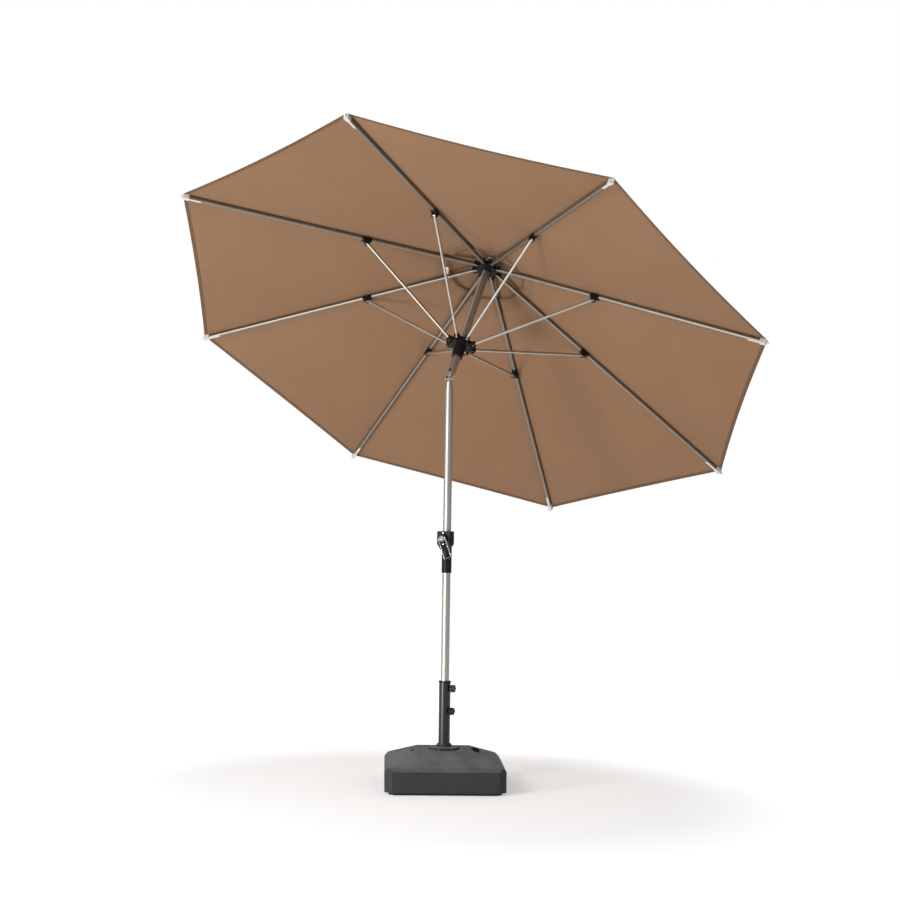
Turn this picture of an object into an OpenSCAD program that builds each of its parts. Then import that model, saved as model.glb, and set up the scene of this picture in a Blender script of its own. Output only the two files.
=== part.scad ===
// Tilting patio umbrella on a fillable base, standing open and tilted.
// Units are millimetres. The floor is z = 0 and the origin is the centre of the base's underside.
// The base's front faces -Y. The pole is turned in the base so that the canopy tilts
// towards tilt_azimuth, and the crank, the tilt button and the lift cord are on the opposite side.

/* [Canopy] */
// Span of the open canopy from rib tip to rib tip
canopy_span = 2988; // [2450:1:3600]
// Angle of the ribs below the square to the pole
rib_drop = 17.35; // [12:0.05:22]
// Height of a rib's oval tube
rib_h = 22; // [18:1:26]
// Width of a rib's oval tube
rib_w = 16; // [12:1:18]
// Thickness of the fabric
cloth_t = 1.2; // [0.8:0.1:2]

/* [Pole] */
// Outer diameter of both pole tubes
pole_d = 38; // [34:1:44]
// Height of the tilt pivot above the floor
pivot_z = 1933; // [1650:1:2300]
// Tilt of the upper pole in the pose drawn
tilt_angle = 32.7; // [10:0.1:38]
// Direction in which the canopy tilts, counted from +X towards +Y
tilt_azimuth = 58.7; // [0:0.1:90]
// Height of the crank's axis above the floor
crank_z = 1171; // [900:1:1400]

/* [Base] */
// Side of the square base
base_w = 560; // [470:1:670]
// Height of the base's upright wall
wall_h = 108; // [90:1:130]
// Height of the base's flat top
plateau_h = 178; // [160:1:200]
// Outer diameter of the stem tube
stem_d = 55; // [50:1:62]
// Height of the stem's top above the floor
stem_top = 491; // [420:1:580]

/* [Node] */
// Sub-part to draw

/* [Hidden] */
rib_count = 8;
rib_step = 360 / rib_count;
half_step = rib_step / 2;
// The hub is pinned to the pole a few degrees round from the tilt plane.
hub_turn = 4.3;
round_fn = 64;
small_fn = 40;

// Clearances
pin_gap = 0.06;
slide_gap = 0.1;
plug_gap = 0.05;
seat_gap = 0.2;
link_gap = 1.2;
seam_gap = 0.4;

// Pole and tilt knuckle; heights are counted from the tilt pivot
pole_r = pole_d / 2;
pole_wall = 1.5;
bore_r = pole_r - pole_wall;
knuckle_r = pole_r - 3;
knuckle_up = 26;
knuckle_down = 41.5;
plug_len = 36;
bolt_r = 3;
bolt_head_r = 5.5;
bolt_head_t = 3;
tongue_t = 13.6;
fork_gap = 14;
eye_r = 8;
button_r = 5;
button_h = 42;
button_out = 4;
button_travel = 2.5;

// Umbrella head; radii are counted from the pole's axis
pin_r = 2;
pivot_r = 62;
rib_len = (canopy_span / 2 - pivot_r) / cos(rib_drop);
bracket_s = 0.3886 * rib_len;
strut_w = 12;
strut_h = 14;
strut_eye_r = strut_h / 2;
bracket_wall = 4.5;
bracket_off = rib_h / 2 + bracket_wall + strut_eye_r + 1;
runner_h = 212;
hub_h = runner_h + 0.3169 * rib_len;
pole_top = hub_h + 72;
bracket_x = pivot_r + bracket_s * cos(rib_drop) - bracket_off * sin(rib_drop);
bracket_h = hub_h - bracket_s * sin(rib_drop) - bracket_off * cos(rib_drop);
strut_len = norm([bracket_x - pivot_r, bracket_h - runner_h]);
strut_rise = atan2(bracket_h - runner_h, bracket_x - pivot_r);

// Forks of the hub and the runner
collar_r = pole_r + 8;
disc_r = pivot_r - 10;
fork_len = pivot_r + 14;
fork_h = 22;
fork_wall = 5;
slot_gap = 0.4;
slot_from = pivot_r - 16;
runner_skirt = 80;

// Ribs and their fittings
rib_wall = 1.4;
rib_start = -8;
bracket_len = 46;
cheek_t = 6;
cheek_r = 10;
cap_len = 28;
cap_nose = 16;
cap_wall = 2;

// Fabric: the main canopy is open under the vent, and the vent flap covers the opening
opening_r = 198;
hem_r = canopy_span / 2 - 8;
hem_sag = 14;
ridge_z = pivot_r * tan(rib_drop) + rib_h / 2 / cos(rib_drop) + 0.6;
gore_slope = atan(tan(rib_drop) / cos(half_step));
vent_r = 270;
vent_inner = 24;
vent_top = pole_top - hub_h + 3;
vent_edge = ridge_z - vent_r * tan(rib_drop) + 9;
vent_drop = atan2(vent_top - vent_edge, vent_r);
vent_slope = atan(tan(vent_drop) / cos(half_step));

// Lift cord and its pulley
cord_r = 1.2;
cord_in = 11;
cord_low = 13;
pulley_r = 6;
cord_out = cord_in + 2 * pulley_r;
pulley_h = hub_h + 46;
channel_r = 2.2;
bend_h = 20;

// Crank
spool_r = 16;
spool_len = 14;
spool_from = -23;
coil_r = spool_r - 2 + cord_r + seat_gap;
housing_r = pole_r + 4.5;
head_w = 78;
head_h = 64;
head_depth = 34;
boss_r = 21;
boss_face = 47;
crank_len = 97;
crank_hang = -21;
rod_r = 3;
rod_gap = 18;
grip_r = 8;
housing_low = crank_z - 162;
housing_high = crank_z + 35;

// Base
corner = 34;
bevel = 18;
shell_t = 5;
plateau_w = 252;
plinth_h = 12;
plinth_in = 20;
base_slope = atan2(plateau_h - wall_h - bevel, base_w / 2 - bevel - plateau_w / 2);
well_r = stem_d / 2 + 7;
stem_floor = 24;
stem_wall = 2.5;
nut_r = 69;
nut_lobe = 76;
nut_lobe_r = 20;
nut_t = 13;
nut_bevel = 4;
nut_neck_h = 25;
filler_x = 148;
filler_r = 17;
filler_gap = 0.1;
screw_heights = [463, 357];
screw_turns = [-32, -42];
screw_r = 4;
knob_r = 18;
knob_t = 15;
knob_from = stem_d / 2 + 9;
bushing_low = 330;

// ---------- Places ----------

// The pole's own frame: +X is the way the canopy tilts
module on_pole() rotate([0, 0, tilt_azimuth]) children();

// The upper pole's frame, with its origin at the tilt pivot
module on_upper() on_pole() translate([0, 0, pivot_z]) rotate([0, tilt_angle, 0]) children();

// Turned to rib k at the hub's pins
module at_hub(k)
  on_upper() translate([0, 0, hub_h]) rotate([0, 0, hub_turn + rib_step * k]) children();

// Turned to strut k at the runner's pins
module at_runner(k)
  on_upper() translate([0, 0, runner_h]) rotate([0, 0, hub_turn + rib_step * k]) children();

// +X runs along rib k from its pin
module on_rib(k) at_hub(k) translate([pivot_r, 0, 0]) rotate([0, rib_drop, 0]) children();

// +X runs along strut k from its pin
module on_strut(k) at_runner(k) translate([pivot_r, 0, 0]) rotate([0, -strut_rise, 0]) children();

// A rod along Y, centred
module cross_rod(r, len, fn = small_fn) rotate([90, 0, 0]) cylinder(r = r, h = len, center = true, $fn = fn);

// A rod along +X from the origin
module long_rod(r, len, fn = small_fn) rotate([0, 90, 0]) cylinder(r = r, h = len, $fn = fn);

// A straight length of cord with round ends
module cord_line(a, b) {
  d = b - a;
  translate(a)
    rotate([0, atan2(norm([d[0], d[1]]), d[2]), atan2(d[1], d[0])])
      cylinder(r = cord_r, h = norm(d), $fn = small_fn);
  translate(a) sphere(r = cord_r, $fn = small_fn);
  translate(b) sphere(r = cord_r, $fn = small_fn);
}

// Upright oval outline with round ends, h tall and w wide
module oval(h, w) {
  square([h - w, w], center = true);
  for (s = [-1, 1]) translate([s * (h - w) / 2, 0]) circle(d = w, $fn = small_fn);
}

// An oval bar along +X
module oval_bar(h, w, len) rotate([0, 90, 0]) linear_extrude(len) oval(h, w);

// ---------- Base ----------

module corner_square(w, c)
  polygon([[w / 2, -w / 2 + c], [w / 2, w / 2 - c], [w / 2 - c, w / 2], [-w / 2 + c, w / 2],
    [-w / 2, w / 2 - c], [-w / 2, -w / 2 + c], [-w / 2 + c, -w / 2], [w / 2 - c, -w / 2]]);

// The base's outer form, brought in by t all round
module base_form(t) {
  big = 2 * base_w;
  difference() {
    translate([0, 0, plinth_h + t])
      linear_extrude(plateau_h - plinth_h - 2 * t) corner_square(base_w - 2 * t, corner);
    for (a = [0:90:270]) rotate([0, 0, a]) {
      translate([base_w / 2, 0, wall_h]) rotate([0, 45, 0])
        translate([-big / 2, -big / 2, -t]) cube([big, big, big]);
      translate([base_w / 2 - bevel, 0, wall_h + bevel]) rotate([0, base_slope, 0])
        translate([-big / 2, -big / 2, -t]) cube([big, big, big]);
    }
  }
}

// A point on a slope of the base's top, with +Z square to the slope
module on_slope(x, a = 0)
  rotate([0, 0, a])
    translate([x, 0, plateau_h - (x - plateau_w / 2) * tan(base_slope)]) rotate([0, base_slope, 0])
      children();

module base_shell() color([0.16, 0.16, 0.17]) difference() {
  union() {
    difference() {
      base_form(0);
      base_form(shell_t);
    }
    translate([0, 0, plinth_h])
      cylinder(r = well_r, h = plateau_h - plinth_h, $fn = round_fn);
    intersection() {
      base_form(0);
      on_slope(filler_x) translate([0, 0, -22]) cylinder(r = filler_r + 6, h = 30, $fn = round_fn);
    }
  }
  translate([0, 0, stem_floor]) cylinder(r = stem_d / 2 + seat_gap, h = plateau_h, $fn = round_fn);
  on_slope(filler_x) translate([0, 0, -30]) cylinder(r = filler_r + filler_gap, h = 40, $fn = round_fn);
  on_slope(filler_x, 180) translate([0, 0, -20]) cylinder(r = 6, h = 30, $fn = small_fn);
}

module base_plinth() color([0.05, 0.05, 0.05])
  linear_extrude(plinth_h) corner_square(base_w - 2 * plinth_in, corner - 8);

// The sand or water that fills the base to near the wall's top
module base_ballast() color([0.55, 0.47, 0.36]) {
  low = plinth_h + shell_t + seat_gap;
  high = wall_h - shell_t;
  difference() {
    translate([0, 0, low])
      linear_extrude(high - low) corner_square(base_w - 2 * shell_t - 2 * seat_gap, corner);
    cylinder(r = well_r + seat_gap, h = wall_h, $fn = round_fn);
  }
}

module filler_cap() color([0.08, 0.08, 0.08]) on_slope(filler_x) {
  translate([0, 0, -18]) cylinder(r = filler_r, h = 18 + seat_gap, $fn = round_fn);
  translate([0, 0, seat_gap]) cylinder(r = filler_r + 6, h = 5, $fn = round_fn);
  translate([-filler_r, -3, seat_gap + 4]) cube([2 * filler_r, 6, 8]);
}

module vent_plug() color([0.08, 0.08, 0.08]) on_slope(filler_x, 180) {
  translate([0, 0, -12]) cylinder(r = 6 - plug_gap, h = 12 + seat_gap, $fn = small_fn);
  translate([0, 0, seat_gap]) cylinder(r = 9, h = 3, $fn = small_fn);
}

// Collar with six shallow lobes that holds the stem down on the base
module stem_nut() color([0.16, 0.16, 0.17]) translate([0, 0, plateau_h]) difference() {
  union() {
    linear_extrude(nut_t - nut_bevel) {
      circle(r = nut_r, $fn = round_fn);
      for (a = [0:60:300]) rotate([0, 0, a + 10])
        translate([nut_lobe - nut_lobe_r, 0]) circle(r = nut_lobe_r, $fn = small_fn);
    }
    translate([0, 0, nut_t - nut_bevel])
      cylinder(r1 = nut_r - 1, r2 = nut_r - 14, h = nut_bevel, $fn = round_fn);
    cylinder(r = stem_d / 2 + 7, h = nut_neck_h, $fn = round_fn);
  }
  translate([0, 0, -1]) cylinder(r = stem_d / 2 + seat_gap, h = nut_neck_h + 2, $fn = round_fn);
}

// A hole for each clamping screw, through whatever stands round the pole
module screw_holes(r)
  for (i = [0, 1]) rotate([0, 0, screw_turns[i]]) translate([pole_r, 0, screw_heights[i]])
    long_rod(r, stem_d);

module stem_tube() color([0.1, 0.1, 0.11]) difference() {
  translate([0, 0, stem_floor]) cylinder(r = stem_d / 2, h = stem_top - stem_floor, $fn = round_fn);
  translate([0, 0, stem_floor + 6])
    cylinder(r = stem_d / 2 - stem_wall, h = stem_top, $fn = round_fn);
  screw_holes(screw_r + pin_gap);
}

// Plastic reducer that fits the pole to the stem
module stem_bushing() color([0.06, 0.06, 0.06]) difference() {
  union() {
    translate([0, 0, bushing_low])
      cylinder(r = stem_d / 2 - stem_wall - plug_gap, h = stem_top - bushing_low + 1, $fn = round_fn);
    translate([0, 0, stem_top]) cylinder(r = stem_d / 2 + 1.5, h = 6, $fn = round_fn);
  }
  translate([0, 0, bushing_low - 1]) cylinder(r = pole_r + slide_gap, h = stem_top, $fn = round_fn);
  screw_holes(screw_r + 2);
}

// Clamping screw i with its lobed knob
module clamp_screw(i) color([0.07, 0.07, 0.07])
  rotate([0, 0, screw_turns[i]]) translate([0, 0, screw_heights[i]]) difference() {
    union() {
      translate([pole_r + seat_gap, 0, 0]) long_rod(screw_r, knob_from - pole_r);
      translate([knob_from - 5, 0, 0]) long_rod(8, 6);
      translate([knob_from, 0, 0]) long_rod(knob_r, knob_t, round_fn);
    }
    for (a = [0:60:300])
      rotate([a, 0, 0]) translate([knob_from - 1, 0, knob_r + 3]) long_rod(6.5, knob_t + 2);
  }

// ---------- Lower pole ----------

// Screw holes of the crank's cover, one above and one below the boss
cover_screw_heights = [crank_z + 27, crank_z - 27];

module pole_lower() color([0.78, 0.74, 0.68]) on_pole() difference() {
  translate([0, 0, stem_floor + 12])
    cylinder(r = pole_r, h = pivot_z - knuckle_down - stem_floor - 12, $fn = round_fn);
  translate([0, 0, stem_floor + 11]) cylinder(r = bore_r, h = pivot_z, $fn = round_fn);
  translate([-14, 0, crank_z]) rotate([0, -90, 0])
    cylinder(r = spool_r + 2, h = 40, center = true, $fn = round_fn);
}

module pole_foot() color([0.06, 0.06, 0.06]) translate([0, 0, stem_floor + 6]) {
  cylinder(r = pole_r, h = 5.8, $fn = round_fn);
  cylinder(r = bore_r - plug_gap, h = 26, $fn = round_fn);
}

// Fork that is plugged into the lower pole
module knuckle_lower() color([0.72, 0.7, 0.67])
  on_pole() translate([0, 0, pivot_z]) difference() {
    union() {
      translate([0, 0, -knuckle_down - plug_len])
        cylinder(r = bore_r - plug_gap, h = plug_len, $fn = round_fn);
      translate([0, 0, -knuckle_down]) cylinder(r = knuckle_r, h = knuckle_down, $fn = round_fn);
      intersection() {
        translate([0, 0, -1]) cylinder(r = knuckle_r, h = knuckle_r + 1, $fn = round_fn);
        cross_rod(knuckle_r, 2 * pole_d, round_fn);
      }
    }
    translate([-pole_d, -fork_gap / 2, -eye_r - 4]) cube([2 * pole_d, fork_gap, pole_d]);
    cross_rod(bolt_r + pin_gap, 2 * pole_d);
    translate([-cord_low, 0, -knuckle_down - plug_len - 1])
      cylinder(r = channel_r, h = knuckle_down + plug_len, $fn = small_fn);
  }

// The crank housing's outline, a sleeve that widens to a head round the boss
module housing_form() {
  translate([0, 0, housing_low])
    cylinder(r = housing_r, h = housing_high - housing_low, $fn = round_fn);
  translate([-head_depth, -head_w / 2 + 10, housing_high - head_h])
    cube([head_depth + 6, head_w - 20, head_h]);
  for (s = [-1, 1]) translate([-head_depth, s * (head_w / 2 - 10), housing_high - head_h])
    translate([(head_depth + 6) / 2, 0, 0]) linear_extrude(head_h) oval(head_depth + 6, 20);
  hull() {
    translate([-head_depth + 2, -head_w / 2 + 6, housing_high - head_h])
      cube([head_depth, head_w - 12, 1]);
    translate([-housing_r, -housing_r + 3, housing_high - head_h - 26])
      cube([housing_r, 2 * housing_r - 6, 1]);
  }
}

// What is hollow inside the housing: the pole's passage and the spool's chamber
module housing_hollow(gap) {
  translate([0, 0, housing_low - 1])
    cylinder(r = pole_r + gap, h = housing_high - housing_low + 2, $fn = round_fn);
  translate([-head_depth + 4, 0, crank_z]) rotate([0, 90, 0])
    cylinder(r = spool_r + 6, h = head_depth, $fn = round_fn);
}

module crank_housing() color([0.08, 0.08, 0.08]) on_pole() difference() {
  housing_form();
  housing_hollow(plug_gap);
  translate([-head_depth - 1, 0, crank_z]) long_rod(9, 10);
  for (z = cover_screw_heights) translate([-head_depth - 1, 0, z]) long_rod(1.5, 8);
}

// Round boss plate that carries the crank's shaft
module crank_cover() color([0.1, 0.1, 0.1]) on_pole() difference() {
  union() {
    translate([-boss_face, 0, crank_z]) long_rod(boss_r, boss_face - head_depth, round_fn);
    translate([-head_depth - 4, -9, crank_z - 32]) cube([4, 18, 64]);
  }
  translate([-boss_face - 1, 0, crank_z]) long_rod(6 + slide_gap, 20);
  for (z = cover_screw_heights) translate([-head_depth - 5, 0, z]) long_rod(1.6, 8);
}

module cover_screws() color([0.75, 0.75, 0.75]) on_pole()
  for (z = cover_screw_heights) translate([-head_depth - 4, 0, z]) {
    translate([-2, 0, 0]) long_rod(3, 2);
    translate([-0.5, 0, 0]) long_rod(1.4, 8);
  }

// Shaft, spool and the chrome disc that the bail is hinged on
module crank_shaft() color([0.75, 0.75, 0.77]) on_pole() translate([0, 0, crank_z]) {
  translate([-boss_face - 8, 0, 0]) difference() {
    union() {
      long_rod(6, boss_face - 12);
      long_rod(13, 7, round_fn);
      rotate([crank_hang, 0, 0]) translate([0, -rod_gap + 6, -6]) cube([6, 2 * rod_gap - 12, 12]);
    }
    rotate([crank_hang, 0, 0]) translate([3, 0, 0]) cross_rod(rod_r + pin_gap, 60);
  }
  translate([spool_from, 0, 0]) {
    long_rod(spool_r - 2, spool_len);
    for (x = [0, spool_len - 2]) translate([x, 0, 0]) long_rod(spool_r + 1, 2, round_fn);
  }
}

// In the bail's frame: -Z hangs along the bail from its hinge
module on_bail() on_pole()
  translate([-boss_face - 5, 0, crank_z]) rotate([crank_hang, 0, 0]) children();

module crank_bail() color([0.85, 0.85, 0.87]) on_bail() {
  cross_rod(rod_r, 2 * rod_gap + 2 * rod_r, small_fn);
  for (s = [-1, 1]) translate([0, s * rod_gap, -crank_len]) {
    cylinder(r = rod_r, h = crank_len, $fn = small_fn);
    sphere(r = rod_r, $fn = small_fn);
  }
  translate([0, 0, -crank_len]) cross_rod(rod_r - 0.5, 2 * rod_gap, small_fn);
}

module crank_grip() color([0.06, 0.06, 0.06]) on_bail() translate([0, 0, -crank_len]) difference() {
  union() {
    cross_rod(grip_r, 2 * (rod_gap - rod_r) - 2, small_fn);
    cross_rod(grip_r + 1.2, 10, small_fn);
  }
  cross_rod(rod_r - 0.5 + slide_gap, 60, small_fn);
}

// ---------- Tilt knuckle and upper pole ----------

// Tongue that is plugged into the upper pole
module knuckle_upper() color([0.72, 0.7, 0.67]) on_upper() difference() {
  union() {
    translate([0, 0, knuckle_up]) cylinder(r = bore_r - plug_gap, h = plug_len, $fn = round_fn);
    translate([0, 0, knuckle_up - 8]) cylinder(r = knuckle_r, h = 8, $fn = round_fn);
    translate([-eye_r, -tongue_t / 2, 0]) cube([2 * eye_r, tongue_t, knuckle_up - 6]);
    cross_rod(eye_r, tongue_t, round_fn);
  }
  cross_rod(bolt_r + pin_gap, 2 * pole_d);
  translate([-cord_in, 0, -1]) cylinder(r = channel_r, h = plug_len + knuckle_up + 2, $fn = small_fn);
  translate([-pole_r, 0, button_h]) long_rod(button_r + slide_gap, pole_r - cord_in - channel_r + 0.8);
}

module tilt_bolt() color([0.82, 0.82, 0.83]) on_pole() translate([0, 0, pivot_z]) {
  cross_rod(bolt_r, 2 * knuckle_r + bolt_head_t);
  for (s = [-1, 1]) translate([0, s * (knuckle_r + plug_gap + bolt_head_t / 2), 0])
    cross_rod(bolt_head_r, bolt_head_t);
}

module tilt_button() color([0.07, 0.07, 0.07]) on_upper()
  translate([-pole_r - button_out, 0, button_h]) {
    long_rod(button_r, pole_r + button_out - cord_in - channel_r - button_travel + 0.2);
  }

module pole_upper() color([0.78, 0.74, 0.68]) on_upper() difference() {
  translate([0, 0, knuckle_up]) cylinder(r = pole_r, h = pole_top - knuckle_up, $fn = round_fn);
  translate([0, 0, knuckle_up - 1]) cylinder(r = bore_r, h = pole_top, $fn = round_fn);
  translate([-pole_d, 0, button_h]) long_rod(button_r + slide_gap, pole_d);
  translate([-pole_d, -4, pulley_h - 12]) cube([pole_d, 8, 22]);
  translate([-(cord_in + cord_out) / 2, 0, pulley_h]) cross_rod(1.5 + pin_gap, pole_d);
}

// ---------- Hub and runner ----------

// Outline of eight forks on the rim of a disc, each with a slot w wide
module fork_outline(w) difference() {
  union() {
    circle(r = disc_r, $fn = round_fn);
    for (k = [0:rib_count - 1]) rotate([0, 0, rib_step * k])
      translate([0, -w / 2 - fork_wall]) square([fork_len, w + 2 * fork_wall]);
  }
  for (k = [0:rib_count - 1]) rotate([0, 0, rib_step * k])
    translate([slot_from, -w / 2]) square([fork_len, w]);
}

// The forks with a hole through each pair of prongs for its pin
module fork_star(w) difference() {
  translate([0, 0, -fork_h / 2]) linear_extrude(fork_h) fork_outline(w);
  for (k = [0:rib_count - 1]) rotate([0, 0, rib_step * k])
    translate([pivot_r, 0, 0]) cross_rod(pin_r + pin_gap, w + 3 * fork_wall);
}

module fork_pins(w) for (k = [0:rib_count - 1])
  rotate([0, 0, rib_step * k]) translate([pivot_r, 0, 0]) cross_rod(pin_r, w + 2 * fork_wall - 1);

module hub() color([0.07, 0.07, 0.07]) on_upper() translate([0, 0, hub_h]) difference() {
  union() {
    rotate([0, 0, hub_turn]) fork_star(rib_w + 2 * slot_gap);
    translate([0, 0, -fork_h / 2 - 10]) cylinder(r = collar_r, h = 54, $fn = round_fn);
  }
  cylinder(r = pole_r + plug_gap, h = 200, center = true, $fn = round_fn);
  translate([-cord_out, 0, -100]) cylinder(r = channel_r, h = 200, $fn = small_fn);
}

module hub_pins() color([0.7, 0.7, 0.7]) on_upper()
  translate([0, 0, hub_h]) rotate([0, 0, hub_turn]) fork_pins(rib_w + 2 * slot_gap);

// Sheave that turns the lift cord from the pole's inside to its outside
module pulley() color([0.5, 0.5, 0.52]) on_upper()
  translate([-(cord_in + cord_out) / 2, 0, pulley_h]) difference() {
    union() {
      cross_rod(pulley_r - cord_r - seat_gap, 5, small_fn);
      for (s = [-1, 1]) translate([0, s * 2.2, 0]) cross_rod(pulley_r + 1.5, 1, small_fn);
    }
    cross_rod(1.5 + pin_gap, 12);
  }

module pulley_pin() color([0.7, 0.7, 0.7]) on_upper()
  translate([-(cord_in + cord_out) / 2, 0, pulley_h]) cross_rod(1.5, 15);

// Turned knob on the pole's top that clamps the vent flap
module finial() color([0.08, 0.07, 0.06]) on_upper() translate([0, 0, pole_top]) {
  translate([0, 0, -14]) cylinder(r = bore_r - plug_gap, h = 15, $fn = round_fn);
  translate([0, 0, 8]) rotate_extrude($fn = round_fn)
    polygon([[0, -8], [34, -2], [36, 1], [30, 4], [14, 8], [11, 14], [14, 20], [21, 28], [23, 38],
      [20, 47], [13, 54], [5, 58], [0, 59]]);
}

module runner() color([0.07, 0.07, 0.07]) on_upper() translate([0, 0, runner_h]) difference() {
  union() {
    rotate([0, 0, hub_turn]) fork_star(strut_w + 2 * slot_gap);
    translate([0, 0, -runner_skirt]) cylinder(r = collar_r, h = runner_skirt + 14, $fn = round_fn);
  }
  cylinder(r = pole_r + slide_gap, h = 300, center = true, $fn = round_fn);
  translate([-cord_out, 0, -4]) cylinder(r = channel_r, h = 200, $fn = small_fn);
}

module runner_pins() color([0.7, 0.7, 0.7]) on_upper()
  translate([0, 0, runner_h]) rotate([0, 0, hub_turn]) fork_pins(strut_w + 2 * slot_gap);

// ---------- Lift cord ----------

// From the spool up inside the lower pole to the tilt knuckle
module cord_lower() color([0.9, 0.89, 0.85]) on_pole() {
  spool_x = spool_from + spool_len / 2;
  translate([spool_x, 0, crank_z]) rotate([0, 90, 0]) rotate_extrude($fn = round_fn)
    translate([coil_r, 0]) circle(r = cord_r, $fn = small_fn);
  cord_line([spool_x, 0, crank_z + coil_r], [-cord_low, 0, crank_z + 60]);
  cord_line([-cord_low, 0, crank_z + 60], [-cord_low, 0, pivot_z - bend_h]);
}

// Across the tilt pivot
module cord_bend() color([0.9, 0.89, 0.85]) on_pole() translate([0, 0, pivot_z])
  cord_line([-cord_low, 0, -bend_h + 2 * cord_r + seat_gap],
    [-cord_in * cos(tilt_angle), 0, cord_in * sin(tilt_angle) - 2 * cord_r - seat_gap]);

// Up inside the upper pole and over the pulley
module cord_upper() color([0.9, 0.89, 0.85]) on_upper() {
  cord_line([-cord_in, 0, 0], [-cord_in, 0, pulley_h]);
  translate([-(cord_in + cord_out) / 2, 0, pulley_h]) rotate([90, 0, 0])
    rotate_extrude(angle = 180, $fn = round_fn)
      translate([pulley_r, 0]) circle(r = cord_r, $fn = small_fn);
}

// Down outside the upper pole from the pulley to the runner
module cord_drop() color([0.9, 0.89, 0.85]) on_upper()
  cord_line([-cord_out, 0, runner_h], [-cord_out, 0, pulley_h - cord_r - seat_gap]);

// ---------- Ribs, struts and fabric ----------

// Oval tube, pinned through at the hub, with its black strut bracket and its pale end cap
module rib(k) on_rib(k) {
  color([0.78, 0.74, 0.68]) difference() {
    translate([rib_start, 0, 0]) oval_bar(rib_h, rib_w, rib_len - rib_start);
    translate([rib_start - 1, 0, 0])
      oval_bar(rib_h - 2 * rib_wall, rib_w - 2 * rib_wall, rib_len - rib_start + 2);
    cross_rod(pin_r + pin_gap, 2 * rib_w);
  }
  color([0.07, 0.07, 0.07]) rib_bracket();
  color([0.85, 0.85, 0.84]) rib_cap();
}

// Room for the rib's tube in a fitting
module rib_passage(len) oval_bar(rib_h + 2 * plug_gap, rib_w + 2 * plug_gap, len);

// Saddle under the tube, with two cheeks that carry the strut's pin
module rib_bracket() translate([bracket_s, 0, 0]) {
  inner = strut_w + 2 * slot_gap + 1;
  saddle_low = -rib_h / 2 - bracket_wall;
  difference() {
    translate([-bracket_len / 2, -rib_w / 2 - bracket_wall, saddle_low])
      cube([bracket_len, rib_w + 2 * bracket_wall, rib_h * 0.75]);
    translate([-bracket_len, 0, 0]) rib_passage(2 * bracket_len);
  }
  for (s = [-1, 1]) translate([0, s * (inner + cheek_t) / 2, -bracket_off]) {
    cross_rod(cheek_r, cheek_t);
    translate([-cheek_r, -cheek_t / 2, 0]) cube([2 * cheek_r, cheek_t, bracket_off + saddle_low + 2]);
  }
  translate([0, 0, -bracket_off]) cross_rod(pin_r, inner + 1);
}

// Pale cap over the tube's end, open above so that the hem lies flat, with a nose past the hem
module rib_cap() difference() {
  union() {
    translate([rib_len - cap_len, -rib_w / 2 - cap_wall, -rib_h / 2 - cap_wall])
      cube([cap_len + 3, rib_w + 2 * cap_wall, rib_h]);
    translate([rib_len + 2, 0, -2]) long_rod(5, cap_nose - 7);
    translate([rib_len + cap_nose - 5, 0, -2]) sphere(r = 5, $fn = small_fn);
  }
  translate([rib_len - cap_len - 1, 0, 0]) rib_passage(cap_len + 1 + plug_gap);
}

module strut(k) color([0.76, 0.73, 0.68]) on_strut(k) difference() {
  union() {
    oval_bar(strut_h, strut_w, strut_len);
    for (x = [0, strut_len]) translate([x, 0, 0]) cross_rod(strut_eye_r, strut_w);
  }
  cross_rod(pin_r + pin_gap, 2 * strut_w);
  translate([strut_len, 0, 0]) cross_rod(pin_r + link_gap, 2 * strut_w);
}

// Half of a gore: flat fabric from a rib to the middle of the gore, r1 to r2 from the axis.
// s = 1 or -1 is the side of the rib; top is the height of the gores' peak over the pins.
module half_gore(s, top, slope, r1, r2, sag)
  translate([0, 0, top]) rotate([0, 0, s * half_step]) rotate([0, slope, 0]) linear_extrude(cloth_t)
    polygon([for (p = [[r1, 1, 0], [r2, 1, 0], [r2, 0.66, 0.55], [r2, 0.33, 0.88], [r2, 0, 1],
        [r1, 0, 0]])
      [(p[0] * cos(half_step) - sag * p[2]) / cos(slope),
       -s * max(p[0] * sin(half_step) * p[1], seam_gap / 2)]]);

module canopy(k) color([0.55, 0.42, 0.32]) at_hub(k) for (s = [-1, 1]) {
  half_gore(s, ridge_z, gore_slope, opening_r, hem_r, hem_sag);
  half_gore(s, vent_top, vent_slope, vent_inner, vent_r, 4);
}

// ---------- The whole umbrella ----------

base_shell();
base_plinth();
base_ballast();
filler_cap();
vent_plug();
stem_nut();
stem_tube();
stem_bushing();
clamp_screw(0);  // screw_upper
clamp_screw(1);  // screw_lower
pole_lower();
pole_foot();
knuckle_lower();
crank_housing();
crank_cover();
cover_screws();
crank_shaft();
crank_bail();
crank_grip();
knuckle_upper();
tilt_bolt();
tilt_button();
pole_upper();
hub();
hub_pins();
pulley();
pulley_pin();
finial();
runner();
runner_pins();
cord_lower();
cord_bend();
cord_upper();
cord_drop();
for (k = [0:rib_count - 1]) rib(k);
for (k = [0:rib_count - 1]) strut(k);
for (k = [0:rib_count - 1]) canopy(k);
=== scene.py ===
# %% [markdown]
# # Tilting patio umbrella on a fillable base
# The umbrella stands open and tilted, and is seen from a little above its base and from
# below its canopy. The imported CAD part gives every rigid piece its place. This lesson gives
# those pieces their finishes, and makes the fabric, the lift cord and the small trim.

# %% Setting up
import math

import bmesh
import bpy
from mathutils import Matrix, Vector


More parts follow.
